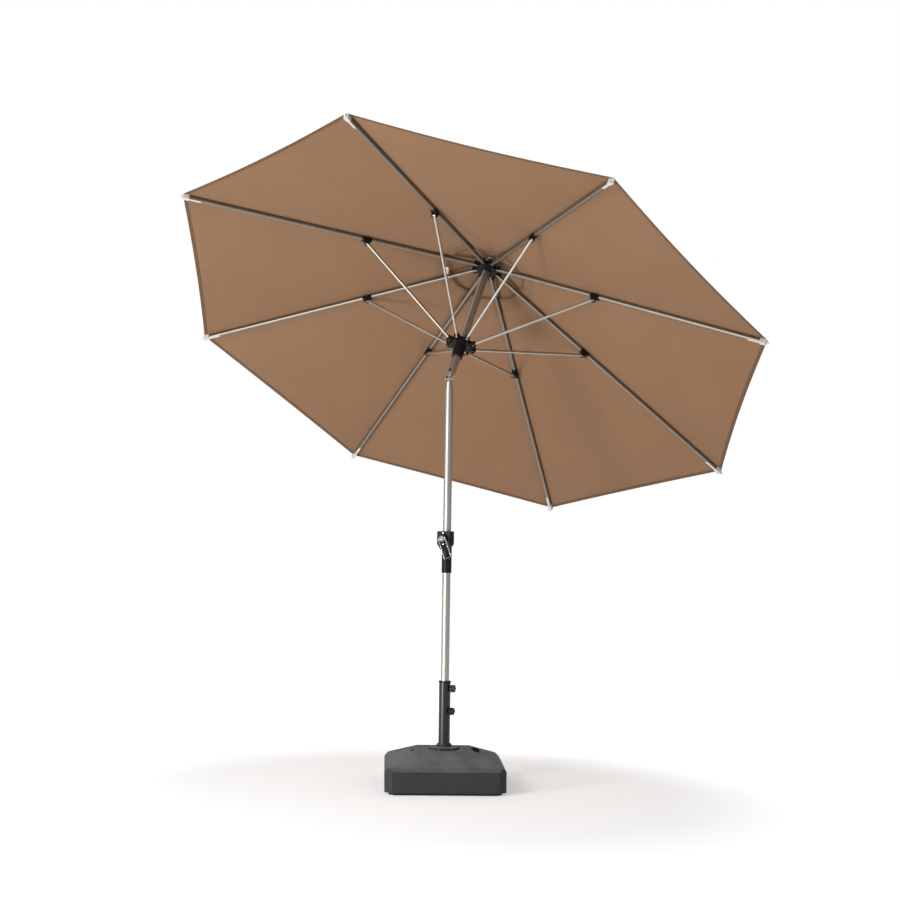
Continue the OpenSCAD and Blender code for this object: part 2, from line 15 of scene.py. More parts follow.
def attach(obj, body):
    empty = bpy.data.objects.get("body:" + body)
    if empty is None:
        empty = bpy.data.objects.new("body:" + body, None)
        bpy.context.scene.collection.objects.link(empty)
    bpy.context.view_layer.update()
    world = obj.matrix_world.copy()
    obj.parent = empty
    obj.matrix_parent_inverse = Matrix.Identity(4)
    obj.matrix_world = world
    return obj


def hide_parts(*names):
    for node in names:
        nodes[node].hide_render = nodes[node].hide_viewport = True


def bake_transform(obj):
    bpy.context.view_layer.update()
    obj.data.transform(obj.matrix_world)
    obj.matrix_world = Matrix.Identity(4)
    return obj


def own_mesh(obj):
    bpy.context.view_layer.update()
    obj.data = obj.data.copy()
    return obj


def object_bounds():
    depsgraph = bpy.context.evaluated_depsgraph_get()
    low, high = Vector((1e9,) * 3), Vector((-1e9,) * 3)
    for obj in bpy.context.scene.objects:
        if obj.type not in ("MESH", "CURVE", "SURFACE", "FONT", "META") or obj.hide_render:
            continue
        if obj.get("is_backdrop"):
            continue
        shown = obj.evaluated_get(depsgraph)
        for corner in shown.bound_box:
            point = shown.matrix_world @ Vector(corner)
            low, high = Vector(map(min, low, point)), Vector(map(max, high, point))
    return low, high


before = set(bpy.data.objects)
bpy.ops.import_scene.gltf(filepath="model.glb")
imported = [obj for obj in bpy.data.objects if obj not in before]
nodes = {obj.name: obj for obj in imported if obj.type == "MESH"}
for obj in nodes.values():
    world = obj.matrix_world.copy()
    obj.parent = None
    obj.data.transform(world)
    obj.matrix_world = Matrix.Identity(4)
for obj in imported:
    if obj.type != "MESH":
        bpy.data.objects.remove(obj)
cad_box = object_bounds()
print("CAD nodes:", len(nodes), "box:", cad_box)

# %% [markdown]
# The sizes that the fabric and the trim are built on are those of the frame itself: where
# the tilt pivot stands, how far the pole leans, how high the hub's pins are above the
# pivot, and how steeply the ribs fall away. Named once, they keep the cloth on its ribs.

# %% Sizes shared with the frame
TILT_DIRECTION = math.radians(58.7)
TILT = math.radians(32.7)
PIVOT = Vector((0, 0, 1.933))
SPAN = 2.988
DROP = math.radians(17.35)
PIN_R = 0.062
RIB_LEN = (SPAN / 2 - PIN_R) / math.cos(DROP)
RIB_H = 0.022
RUNNER_H = 0.212
HUB_RISE = 0.3169  # share of a rib's length
HUB_H = RUNNER_H + HUB_RISE * RIB_LEN
HUB_TURN = math.radians(4.3)
POLE_OVER_HUB = 0.072
RIBS = 8
STEP = 2 * math.pi / RIBS
HALF = STEP / 2
print("rib", round(RIB_LEN, 3), "hub", round(HUB_H, 3), "above the pivot")

# %% [markdown]
# The cloth lies just over the ribs. Its main part ends in a round opening by the pole, and
# a vent flap stands a little clear of it, so that wind can pass between the two.

# %% Sizes of the cloth
CLOTH_GAP = 0.0006
RIDGE_Z = PIN_R * math.tan(DROP) + RIB_H / 2 / math.cos(DROP) + CLOTH_GAP
OPENING_R = 0.187
HEM_OVER = 0.004
HEM_R = SPAN / 2 + HEM_OVER
HEM_SAG = 0.014
VENT_R, VENT_INNER = 0.270, 0.024
VENT_SAG = 0.004
VENT_GAP = 0.005
VENT_OVER_POLE = 0.003
VENT_TOP = POLE_OVER_HUB + VENT_OVER_POLE
VENT_EDGE = RIDGE_Z - VENT_R * math.tan(DROP) + VENT_GAP
VENT_DROP = math.atan2(VENT_TOP - VENT_EDGE, VENT_R)
print("vent falls", round(math.degrees(VENT_DROP), 1), "degrees")

# %% [markdown]
# Three frames of reference follow from those sizes. The head leans with the upper pole, a
# row points along one rib, and a rib's own frame also falls with it.

# %% Frames of reference
HEAD = (Matrix.Translation(PIVOT) @ Matrix.Rotation(TILT_DIRECTION, 4, "Z")
        @ Matrix.Rotation(TILT, 4, "Y"))
HUB = HEAD @ Matrix.Translation((0, 0, HUB_H))


def rib_turn(k):
    """The hub's frame turned so that +X points along rib k."""
    return HUB @ Matrix.Rotation(HUB_TURN + STEP * k, 4, "Z")


def rib_frame(k):
    """+X runs along rib k from its pin and +Z is square to the rib, outwards."""
    return rib_turn(k) @ Matrix.Translation((PIN_R, 0, 0)) @ Matrix.Rotation(DROP, 4, "Y")


print("hub at", [round(x, 3) for x in HUB.translation])

# %% [markdown]
# The camera stands eight metres away at chest height and looks up by two degrees, so it
# sees the base from above and the canopy's inside. Its place is known before any piece is
# made, because it decides which sides need the most care.

# %% Camera
CAMERA_AT = Vector((-0.3175, -7.8035, 1.265))
CAMERA_HEADING = Matrix.Rotation(math.radians(-2.39), 3, "Z")
LOOK_UP = math.radians(2.41)
LOOK_ROLL = math.radians(0.83)
LENS_MM, SENSOR_MM = 65.51, 36

forward = CAMERA_HEADING @ Vector((0, math.cos(LOOK_UP), math.sin(LOOK_UP)))
level_right = CAMERA_HEADING @ Vector((1, 0, 0))
level_up = level_right.cross(forward)
view_right = math.cos(LOOK_ROLL) * level_right + math.sin(LOOK_ROLL) * level_up
view_up = -math.sin(LOOK_ROLL) * level_right + math.cos(LOOK_ROLL) * level_up

camera_data = bpy.data.cameras.new("camera")
camera_data.sensor_width = SENSOR_MM
camera_data.lens = LENS_MM
camera_data.dof.use_dof = False
camera = bpy.data.objects.new("camera", camera_data)
bpy.context.scene.collection.objects.link(camera)
camera.matrix_world = Matrix.Translation(CAMERA_AT) @ Matrix(
    (view_right, view_up, -forward)).transposed().to_4x4()
bpy.context.scene.camera = camera
print("camera looks along", [round(x, 3) for x in forward])

# %% [markdown]
# A wide soft source high on the left gives the pole its highlight and leaves the right
# side darker. A low one reaches under the canopy, and one above shines through the cloth.
# The world is white where it is seen and dimmer where it lights, so that the background is
# clean and the shading keeps its shape.

# %% Lights
AMBIENT = 0.45
LIGHTS = (  # name, place, aim, size in metres, watts
    ("key", (-4.5, -5.0, 4.2), (0, 0, 1.2), 2.2, 210),
    ("low", (-4.0, -3.4, 0.6), (-0.3, 0, 2.2), 1.2, 230),
    ("top", (0.5, 1.0, 6.5), (0.2, 0.2, 2.4), 4.0, 330),
)

bpy.context.scene.view_settings.view_transform = "Standard"
world = bpy.data.worlds.new("studio")
world.use_nodes = True
bpy.context.scene.world = world
sky = world.node_tree.nodes["Background"]
sky.inputs["Color"].default_value = (1, 1, 1, 1)
seen = world.node_tree.nodes.new("ShaderNodeLightPath")
level = world.node_tree.nodes.new("ShaderNodeMapRange")
level.inputs["To Min"].default_value = AMBIENT
level.inputs["To Max"].default_value = 1.0
world.node_tree.links.new(seen.outputs["Is Camera Ray"], level.inputs["Value"])
world.node_tree.links.new(level.outputs[0], sky.inputs["Strength"])

for name, at, aim, size, power in LIGHTS:
    lamp = bpy.data.lights.new(name, "AREA")
    lamp.shape = "DISK"
    lamp.size = size
    lamp.energy = power
    light = bpy.data.objects.new(name, lamp)
    bpy.context.scene.collection.objects.link(light)
    light.location = at
    light.rotation_euler = (Vector(aim) - Vector(at)).to_track_quat("-Z", "Y").to_euler()
print("lights:", [row[0] for row in LIGHTS])

# %% [markdown]
# The floor is a plain disc of white paper. It gives off a little light of its own, so that
# it stays as pale as the background and only the shadow by the base shows. Every piece
# made here goes from its bmesh to an object through one small helper.

# %% Floor
FLOOR_R = 5.5
FLOOR_WHITE = (0.80, 0.80, 0.80, 1)
FLOOR_GLOW = 0.36


def new_piece(name, bm, material):
    """Make an object with one material from a bmesh, and free the bmesh."""
    data = bpy.data.meshes.new(name)
    bm.to_mesh(data)
    bm.free()
    piece = bpy.data.objects.new(name, data)
    bpy.context.scene.collection.objects.link(piece)
    data.materials.append(material)
    return piece


paper = bpy.data.materials.new("floor_paper")
paper.use_nodes = True
paper_shader = paper.node_tree.nodes["Principled BSDF"]
for socket, value in (("Base Color", FLOOR_WHITE), ("Roughness", 0.9),
                      ("Specular IOR Level", 0.0), ("Emission Color", (1, 1, 1, 1)),
                      ("Emission Strength", FLOOR_GLOW)):
    paper_shader.inputs[socket].default_value = value

disc = bmesh.new()
bmesh.ops.create_circle(disc, cap_ends=True, segments=96, radius=FLOOR_R)
new_piece("floor", disc, paper)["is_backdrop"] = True
print("floor radius", FLOOR_R)

# %% [markdown]
# ## Shared effects
# Five effects are used again and again, so each is a node group with named sockets, built
# once. A few helpers come first: one opens a group, and the others each add one node and
# wire it, so that the groups below read like sums.

# %% Node helpers


def new_group(name, inputs, outputs):
    """A node group with named sockets, with its input and output nodes."""
    g = bpy.data.node_groups.new(name, "ShaderNodeTree")
    for label, kind, value in inputs:
        socket = g.interface.new_socket(label, in_out="INPUT", socket_type=kind)
        if value is not None:
            socket.default_value = value
    for label in outputs:
        g.interface.new_socket(label, in_out="OUTPUT", socket_type="NodeSocketFloat")
    return g, g.nodes.new("NodeGroupInput"), g.nodes.new("NodeGroupOutput")


def feed(g, socket, value):
    """Set a socket to a number, or link it to another socket."""
    if isinstance(value, (int, float)):
        socket.default_value = value
    else:
        g.links.new(value, socket)


def math_node(g, operation, a, b=None, clamp=False):
    n = g.nodes.new("ShaderNodeMath")
    n.operation = operation
    n.use_clamp = clamp
    feed(g, n.inputs[0], a)
    if b is not None:
        feed(g, n.inputs[1], b)
    return n.outputs[0]


def noise(g, vector, scale, detail=3.0, rough=0.55):
    n = g.nodes.new("ShaderNodeTexNoise")
    n.inputs["Detail"].default_value = detail
    n.inputs["Roughness"].default_value = rough
    feed(g, n.inputs["Scale"], scale)
    g.links.new(vector, n.inputs["Vector"])
    return n.outputs["Fac"]


def scaled(g, vector, factors):
    n = g.nodes.new("ShaderNodeVectorMath")
    n.operation = "MULTIPLY"
    n.inputs[1].default_value = factors
    g.links.new(vector, n.inputs[0])
    return n.outputs[0]


# %% [markdown]
# Grain is the fine texture of a mould: a speckle for roughness and height, and a broad
# mottling for colour. Brushing is the drawn texture of a tube. Both could be pictures, but
# noise has no edge and no scale limit. Stretched along one axis, it draws streaks.

# %% Grain and brushing
MOTTLE_SCALE = 14.0
STREAK_STRETCH = (6.0, 1400.0, 1400.0)
SMEAR_STRETCH = (5.0, 40.0, 40.0)

grain, grain_in, grain_out = new_group(
    "Grain", [("Vector", "NodeSocketVector", None), ("Scale", "NodeSocketFloat", 900.0)],
    ["Speckle", "Mottle"])
at = grain_in.outputs["Vector"]
grain.links.new(noise(grain, at, grain_in.outputs["Scale"], detail=2.0),
                grain_out.inputs["Speckle"])
grain.links.new(noise(grain, at, MOTTLE_SCALE, detail=4.0), grain_out.inputs["Mottle"])

brush, brush_in, brush_out = new_group(
    "Brushing", [("Vector", "NodeSocketVector", None)], ["Streaks", "Smears"])
at = brush_in.outputs["Vector"]
brush.links.new(noise(brush, scaled(brush, at, STREAK_STRETCH), 1.0, detail=3.0),
                brush_out.inputs["Streaks"])
brush.links.new(noise(brush, scaled(brush, at, SMEAR_STRETCH), 1.0, detail=4.0),
                brush_out.inputs["Smears"])
print("groups:", grain.name, brush.name)

# %% [markdown]
# Dust settles on what faces up, and in patches, and a painted sheen lightens what faces up
# as light from above would. The mask is the upward part of the normal, squared so that walls
# stay clean, times a coarse noise.

# %% Dust and painted sheen
PATCH_SCALE, PATCH_GAIN = 9.0, 1.3

dust_and_sheen, dust_and_sheen_in, dust_and_sheen_out = new_group(
    "DustAndSheen", [("Vector", "NodeSocketVector", None), ("Normal", "NodeSocketVector", None),
             ("Amount", "NodeSocketFloat", 0.4)], ["Mask"])
split = dust_and_sheen.nodes.new("ShaderNodeSeparateXYZ")
dust_and_sheen.links.new(dust_and_sheen_in.outputs["Normal"], split.inputs[0])
facing = math_node(dust_and_sheen, "POWER", math_node(dust_and_sheen, "MAXIMUM", split.outputs["Z"], 0.0), 2.0)
cloudy = noise(dust_and_sheen, dust_and_sheen_in.outputs["Vector"], PATCH_SCALE, detail=6.0, rough=0.65)
patch = math_node(dust_and_sheen, "MULTIPLY", cloudy, PATCH_GAIN, clamp=True)
dust_and_sheen.links.new(math_node(dust_and_sheen, "MULTIPLY", math_node(dust_and_sheen, "MULTIPLY", facing, patch),
                         dust_and_sheen_in.outputs["Amount"], True), dust_and_sheen_out.inputs["Mask"])
print("group:", dust_and_sheen.name)

# %% [markdown]
# Threads are too fine to see from across a garden. What does show of a woven cloth is its
# slubs, which are thicker threads both ways, a broad shading from the dye, and soft folds
# that run out from the middle. All three read the cloth's own UV map, in metres.

# %% Weave
SLUB_ACROSS, SLUB_ALONG = (6.0, 420.0, 1.0), (420.0, 6.0, 1.0)
BROAD_SCALE = 2.2
FOLD_STRETCH = (11.0, 2.5, 1.0)

weave, weave_in, weave_out = new_group("Weave", [("UV", "NodeSocketVector", None)],
                                       ["Slubs", "Broad", "Folds"])
at = weave_in.outputs["UV"]
across = noise(weave, scaled(weave, at, SLUB_ACROSS), 1.0, detail=2.0)
along = noise(weave, scaled(weave, at, SLUB_ALONG), 1.0, detail=2.0)
weave.links.new(math_node(weave, "ADD", math_node(weave, "MULTIPLY", across, 0.5),
                          math_node(weave, "MULTIPLY", along, 0.5)), weave_out.inputs["Slubs"])
weave.links.new(noise(weave, at, BROAD_SCALE, detail=3.0), weave_out.inputs["Broad"])
weave.links.new(noise(weave, scaled(weave, at, FOLD_STRETCH), 1.0, detail=3.0, rough=0.4),
                weave_out.inputs["Folds"])
print("group:", weave.name)

# %% [markdown]
# A seam runs along each rib: a band of doubled cloth, with one row of stitches inside each
# edge. The distance from the rib is an attribute of the mesh, so the band keeps its width
# all the way. A sine along the row cuts the thread into stitches.

# %% Seam
SEAM_HALF = 0.013
STITCH = 0.004
STITCH_INSET = 0.002
THREAD_HALF = 0.0004
STITCH_SHARE = -0.4

seam, seam_in, seam_out = new_group(
    "Seam", [("Beside", "NodeSocketFloat", 1.0), ("UV", "NodeSocketVector", None)],
    ["Band", "Stitch"])
beside_rib = seam_in.outputs["Beside"]
seam.links.new(math_node(seam, "LESS_THAN", beside_rib, SEAM_HALF), seam_out.inputs["Band"])
from_row = math_node(seam, "ABSOLUTE",
                     math_node(seam, "SUBTRACT", beside_rib, SEAM_HALF - STITCH_INSET))
on_row = math_node(seam, "LESS_THAN", from_row, THREAD_HALF)
place = seam.nodes.new("ShaderNodeSeparateXYZ")
seam.links.new(seam_in.outputs["UV"], place.inputs[0])
dashes = math_node(seam, "SINE", math_node(seam, "MULTIPLY", place.outputs["Y"],
                                           2 * math.pi / STITCH))
seam.links.new(math_node(seam, "MULTIPLY", on_row,
                         math_node(seam, "GREATER_THAN", dashes, STITCH_SHARE)),
               seam_out.inputs["Stitch"])
print("groups:", [g.name for g in bpy.data.node_groups])

# %% [markdown]
# ## Finishes
# Each finish reads Object coordinates, or the cloth's own UV map, so that it stays with its
# piece in every pose. What varies goes through a group, and constants sit on the shader.

# %% Material helpers


def start(name):
    """A new material, with its tree, its shader and its texture coordinates."""
    m = bpy.data.materials.new(name)
    m.use_nodes = True
    g = m.node_tree
    return m, g, g.nodes["Principled BSDF"], g.nodes.new("ShaderNodeTexCoord")


def use_group(g, group, **values):
    n = g.nodes.new("ShaderNodeGroup")
    n.node_tree = group
    for label, value in values.items():
        feed(g, n.inputs[label], value)
    return n


def mix_colour(g, share, a, b):
    n = g.nodes.new("ShaderNodeMix")
    n.data_type = "RGBA"
    for label, kind, value in (("Factor", "VALUE", share), ("A", "RGBA", a), ("B", "RGBA", b)):
        socket = [s for s in n.inputs if s.name == label and s.type == kind][0]
        if isinstance(value, tuple):
            socket.default_value = (*value, 1)
        else:
            feed(g, socket, value)
    return [s for s in n.outputs if s.type == "RGBA"][0]


def ranged(g, value, low, high):
    n = g.nodes.new("ShaderNodeMapRange")
    n.inputs["To Min"].default_value = low
    n.inputs["To Max"].default_value = high
    g.links.new(value, n.inputs["Value"])
    return n.outputs[0]


def bump(g, height, strength, distance, under=None):
    n = g.nodes.new("ShaderNodeBump")
    if under is not None:
        g.links.new(under, n.inputs["Normal"])
    n.inputs["Strength"].default_value = strength
    n.inputs["Distance"].default_value = distance
    g.links.new(height, n.inputs["Height"])
    return n.outputs[0]


# %% [markdown]
# Moulded plastic is one colour with a slight mottle, and its roughness changes from speck
# to speck, which breaks up the highlight. Pieces that stand outdoors get dust as well, and
# a painted pale sheen on the faces that look up.

# %% Moulded plastic
# Painted highlight in part: a pale bluish grey for dust and for the sheen of light from above on
# upward faces.
DUST_AND_SHEEN_COLOUR = (0.185, 0.192, 0.21)


def plastic(name, colour, rough=(0.42, 0.6), grain_scale=900.0, dust_and_sheen_amount=0.0, shine=0.3):
    m, g, shader, coords = start(name)
    texture = use_group(g, grain, Vector=coords.outputs["Object"], Scale=grain_scale)
    lighter = tuple(min(1, c * 1.35 + 0.001) for c in colour)
    base = mix_colour(g, texture.outputs["Mottle"], colour, lighter)
    roughness = ranged(g, texture.outputs["Speckle"], *rough)
    if dust_and_sheen_amount:
        geometry = g.nodes.new("ShaderNodeNewGeometry")
        mask = use_group(g, dust_and_sheen, Vector=coords.outputs["Object"],
                         Normal=geometry.outputs["Normal"], Amount=dust_and_sheen_amount)
        # Upward faces are mixed towards that colour: dust, and a painted sheen.
        base = mix_colour(g, mask.outputs["Mask"], base, DUST_AND_SHEEN_COLOUR)
    g.links.new(base, shader.inputs["Base Color"])
    g.links.new(roughness, shader.inputs["Roughness"])
    g.links.new(bump(g, texture.outputs["Speckle"], strength=0.12, distance=0.0004),
                shader.inputs["Normal"])
    shader.inputs["Specular IOR Level"].default_value = shine
    return m


# %% [markdown]
# Drawn tube has fine streaks along its length. The streaks run along the pattern's X, so a
# Mapping node turns the pattern to run along the pole. Anodising is never quite even, so
# the broad smears move the colour a little too.

# %% Brushed metal


def metal(name, colour, rough=(0.24, 0.42)):
    m, g, shader, coords = start(name)
    mapping = g.nodes.new("ShaderNodeMapping")
    mapping.inputs["Rotation"].default_value = (0, math.pi / 2, 0)
    g.links.new(coords.outputs["Object"], mapping.inputs["Vector"])
    lines = use_group(g, brush, Vector=mapping.outputs[0])
    darker = tuple(c * 0.8 for c in colour)
    g.links.new(mix_colour(g, lines.outputs["Smears"], darker, colour),
                shader.inputs["Base Color"])
    g.links.new(ranged(g, lines.outputs["Streaks"], *rough), shader.inputs["Roughness"])
    g.links.new(bump(g, lines.outputs["Streaks"], strength=0.08, distance=0.0002),
                shader.inputs["Normal"])
    shader.inputs["Metallic"].default_value = 1.0
    return m


# %% [markdown]
# The canopy is a spun polyester canvas. Sun from above passes through it in part, so a
# translucent share is added to the plain surface. Its slubs break up the colour. The band
# along each rib and the vent's edge are darker, because the cloth is double there, and the
# band by each rib is darker also as painted shadow, the shadow of the rib on the cloth. A
# lighter thread sews them down. Two bumps are stacked: soft folds, and the slubs on them.

# %% Cloth
BROAD_SHADE = (0.90, 1.06)
DOUBLE_AND_RIB_SHADOW_SHADE, THREAD_SHADE = 0.72, 1.5


def cloth(name, light, dark, through=0.12):
    m, g, shader, coords = start(name)
    uv = g.nodes.new("ShaderNodeUVMap")
    uv.uv_map = "cloth"
    threads = use_group(g, weave, UV=uv.outputs[0])
    double = g.nodes.new("ShaderNodeAttribute")
    double.attribute_name = "double"
    beside = g.nodes.new("ShaderNodeAttribute")
    beside.attribute_name = "beside_rib"
    sewn = use_group(g, seam, Beside=beside.outputs["Fac"], UV=uv.outputs[0])
    shaded = g.nodes.new("ShaderNodeVectorMath")
    shaded.operation = "SCALE"
    g.links.new(mix_colour(g, threads.outputs["Slubs"], dark, light), shaded.inputs[0])
    g.links.new(ranged(g, threads.outputs["Broad"], *BROAD_SHADE), shaded.inputs["Scale"])
    either = math_node(g, "MAXIMUM", double.outputs["Fac"], sewn.outputs["Band"])
    # Painted shadow in part: the band beside each rib is darkened for the double cloth and for
    # the rib's shadow on it.
    colour = mix_colour(g, either, shaded.outputs[0], tuple(c * DOUBLE_AND_RIB_SHADOW_SHADE for c in dark))
    colour = mix_colour(g, sewn.outputs["Stitch"], colour,
                        tuple(c * THREAD_SHADE for c in light))
    raised = math_node(g, "ADD", threads.outputs["Slubs"], sewn.outputs["Band"])
    creased = bump(g, threads.outputs["Folds"], strength=0.35, distance=0.012)
    normal = bump(g, raised, strength=0.15, distance=0.0006, under=creased)
    g.links.new(colour, shader.inputs["Base Color"])
    g.links.new(normal, shader.inputs["Normal"])
    shader.inputs["Roughness"].default_value = 0.88
    shader.inputs["Specular IOR Level"].default_value = 0.12
    glow = g.nodes.new("ShaderNodeBsdfTranslucent")
    g.links.new(colour, glow.inputs["Color"])
    g.links.new(normal, glow.inputs["Normal"])
    mixed = g.nodes.new("ShaderNodeMixShader")
    mixed.inputs["Fac"].default_value = through
    g.links.new(shader.outputs[0], mixed.inputs[1])
    g.links.new(glow.outputs[0], mixed.inputs[2])
    g.links.new(mixed.outputs[0], g.nodes["Material Output"].inputs["Surface"])
    return m


canopy_cloth = cloth("canopy_cloth", (0.212, 0.121, 0.068), (0.176, 0.100, 0.056))
# Painted shade in part: the hem cloth is darker for its doubled cloth, and at the opening for the
# shaded gap under the vent flap.
hem_cloth_and_gap_shade = cloth("hem_cloth_and_gap_shade", (0.200, 0.114, 0.064), (0.168, 0.095, 0.053), 0.05)
print("cloths:", canopy_cloth.name, hem_cloth_and_gap_shade.name)

# %% [markdown]
# Rigid finishes: champagne anodised tube for the pole, ribs and struts, a cooler satin for the
# knuckle, black moulded nylon for the hub, runner and crank, chrome for the bail, and a
# charcoal polyethylene with dust and a painted pale sheen on its upward faces for the base.
# The ribs get a darker, browner copy of the champagne, as painted shade and painted brown
# light from the cloth just above them.

# %% Rigid finishes
champagne = metal("champagne_tube", (0.44, 0.415, 0.385), (0.40, 0.52))
# Painted shade: the ribs' champagne is darkened and browned for the shade and brown light of the
# cloth over them.
painted_shade_rib_metal = metal("painted_shade_rib_metal", (0.27, 0.245, 0.215), (0.42, 0.55))
strut_metal = metal("strut_metal", (0.43, 0.40, 0.36), (0.42, 0.55))
satin = metal("satin_metal", (0.45, 0.44, 0.425), (0.32, 0.45))
steel = metal("bright_steel", (0.55, 0.55, 0.55), (0.22, 0.36))
chrome = metal("chrome", (0.78, 0.78, 0.80), (0.06, 0.12))
black = plastic("black_nylon", (0.0035, 0.0035, 0.004), (0.42, 0.58), 1100.0, shine=0.16)
gloss = plastic("gloss_knob", (0.0035, 0.0035, 0.004), (0.28, 0.38), 1100.0, shine=0.3)
charcoal = plastic("charcoal_shell", (0.019, 0.0195, 0.021), (0.46, 0.62), 700.0, dust_and_sheen_amount=1.0,
                   shine=0.25)
stem_paint = plastic("stem_paint", (0.005, 0.005, 0.0055), (0.26, 0.38), 1500.0, shine=0.45)
rubber = plastic("plinth_rubber", (0.010, 0.010, 0.010), (0.7, 0.85), 500.0, shine=0.2)
pale = plastic("pale_cap", (0.40, 0.385, 0.36), (0.4, 0.55), 900.0)
sand = plastic("sand", (0.42, 0.33, 0.22), (0.85, 0.95), 600.0)
ribbon = plastic("satin_ribbon", (0.66, 0.62, 0.62), (0.4, 0.5), 3000.0)
cord_fibre = plastic("cord_fibre", (0.42, 0.40, 0.36), (0.7, 0.85), 2400.0)
print("materials:", len(bpy.data.materials))

# %% [markdown]
# Every piece that comes from the frame as it is gets one finish. A table by finish shows at
# a glance which pieces are moulded together in one colour.

# %% Finishes on the frame's pieces
PIECES_BY_FINISH = (
    (charcoal, "base_shell stem_nut"),
    (rubber, "base_plinth"),
    (sand, "base_ballast"),
    (stem_paint, "stem_tube"),
    (black, "filler_cap vent_plug stem_bushing pole_foot crank_housing crank_cover hub runner"),
    (gloss, "screw_upper screw_lower crank_grip tilt_button finial"),
    (champagne, "pole_lower pole_upper"),
    (satin, "knuckle_lower knuckle_upper pulley"),
    (steel, "cover_screws tilt_bolt hub_pins pulley_pin runner_pins"),
    (chrome, "crank_shaft crank_bail"),
    (cord_fibre, "cord_lower cord_upper"),
    (strut_metal, " ".join(f"strut_{k + 1}" for k in range(RIBS))),
)
for finish, pieces in PIECES_BY_FINISH:
    for name in pieces.split():
        nodes[name].data.materials.clear()
        nodes[name].data.materials.append(finish)
    print(finish.name, "on", pieces)

# %% [markdown]
# Each rib is one node of three solids: the tube, the black saddle that carries the strut's
# pin, and the pale end cap. Faces are told apart by how far along the rib they reach, since
# the tube's own faces run nearly its whole length.

# %% Rib finishes
BRACKET_AT = 0.3886 * RIB_LEN  # from the hub's pin
BRACKET_HALF = 0.024
CAP_REACH = 0.030
TUBE_SLOT, BRACKET_SLOT, CAP_SLOT = 0, 1, 2

for k in range(RIBS):
    data = nodes[f"rib_{k + 1}"].data
    data.materials.clear()
    for finish in (painted_shade_rib_metal, black, pale):
        data.materials.append(finish)
    back = rib_frame(k).inverted()
    for face in data.polygons:
        reach = [(back @ data.vertices[v].co).x for v in face.vertices]
        low, high = min(reach), max(reach)
        if low > BRACKET_AT - BRACKET_HALF and high < BRACKET_AT + BRACKET_HALF:
            face.material_index = BRACKET_SLOT
        elif low > RIB_LEN - CAP_REACH:
            face.material_index = CAP_SLOT
        else:
            face.material_index = TUBE_SLOT
print("ribs finished:", RIBS)

# %% [markdown]
# Moulded and machined edges are never knife sharp. A narrow bevel on the rigid pieces
# catches the light as the real edges do. The frame's vertices are welded by a modifier
# first, so that each edge is one edge.

# %% Edge rounding
ROUNDED = (  # piece, width in metres, segments
    ("base_shell", 0.005, 4), ("base_plinth", 0.002, 2), ("stem_nut", 0.002, 3),
    ("filler_cap", 0.0012, 2), ("crank_housing", 0.002, 3), ("crank_cover", 0.0012, 2),
    ("hub", 0.001, 2), ("runner", 0.001, 2),
)
SHARP = math.radians(35)


def round_edges(piece, width, segments):
    weld = piece.modifiers.new("weld", "WELD")
    weld.merge_threshold = 0.00002
    bevel = piece.modifiers.new("bevel", "BEVEL")
    bevel.width = width
    bevel.segments = segments
    bevel.limit_method = "ANGLE"
    bevel.angle_limit = SHARP
    bevel.use_clamp_overlap = True
    shade = piece.modifiers.new("shade", "WEIGHTED_NORMAL")
    shade.weight = 80
    for face in piece.data.polygons:
        face.use_smooth = True


for name, width, segments in ROUNDED:
    round_edges(nodes[name], width, segments)
print("rounded:", [row[0] for row in ROUNDED])

# %% [markdown]
# ## The canopy
# The real canopy is eight gores sewn edge to edge and pulled tight over eight ribs, so
# between ribs it is nearly flat, with a slight hollow where the cloth gives. A simulated
# sheet would settle close to this, but a formula for its height keeps it exactly on the
# ribs. Tight cloth puckers a little where it is bound round the opening.

# %% The canopy's surface
RIPPLE, RIPPLE_WAVES = 0.0015, 3
RIPPLE_R, RIPPLE_WIDTH = 0.25, 0.09
HOLLOW_FULL_R = 0.8
MAIN = {"peak": RIDGE_Z, "drop": DROP, "hollow": 0.010}
VENT = {"peak": VENT_TOP, "drop": VENT_DROP, "hollow": 0.003}


def skin(r, angle, peak, drop, hollow):
    """Height over the hub's pins of the cloth at radius r and angle from a rib's line."""
    share = 1 - abs(angle) / HALF
    mid = r * math.cos(abs(angle) - HALF)
    flat = peak - mid * math.tan(drop) / math.cos(HALF)
    pucker = math.exp(-((r - RIPPLE_R) / RIPPLE_WIDTH) ** 2)
    ripple = RIPPLE * math.cos(RIPPLE_WAVES * math.pi * angle / HALF) * pucker
    return flat - hollow * (1 - share * share) * min(1.0, r / HOLLOW_FULL_R) + ripple


def chord(angle):
    """How far in a straight edge between two ribs is at this angle, as a share of its ends."""
    return math.cos(HALF) / math.cos(abs(angle) - HALF)


def edge_radius(r, share, sag):
    """Radius of an edge that curves in by sag between ribs. Share is 0 on the rib."""
    return r - sag * (1 - (1 - abs(share)) ** 2)


print("hem is at height", round(skin(HEM_R, 0, **MAIN), 3), "from the hub's pins")

# %% [markdown]
# Fields meet in mid-gore. Each is shaded by the surface's own normal, worked out from small
# steps out and round, and there is no turn left at the meeting line. So both fields have
# the same normals there, and no line shows.

# %% The cloth's normal
NUDGE = 1e-4
ON_LINE = 1e-6


def skin_normal(r, angle, surface):
    z = skin(r, angle, **surface)
    outward = (skin(r + NUDGE, angle, **surface) - z) / NUDGE
    round_about = 0.0
    if abs(angle) > ON_LINE and abs(abs(angle) - HALF) > ON_LINE:
        near = angle - math.copysign(NUDGE, angle)
        round_about = (z - skin(r, near, **surface)) / (angle - near) / r
    radial = Vector((math.cos(angle), math.sin(angle), 0))
    tangent = Vector((-math.sin(angle), math.cos(angle), 0))
    return (Vector((0, 0, 1)) - radial * outward - tangent * round_about).normalized()


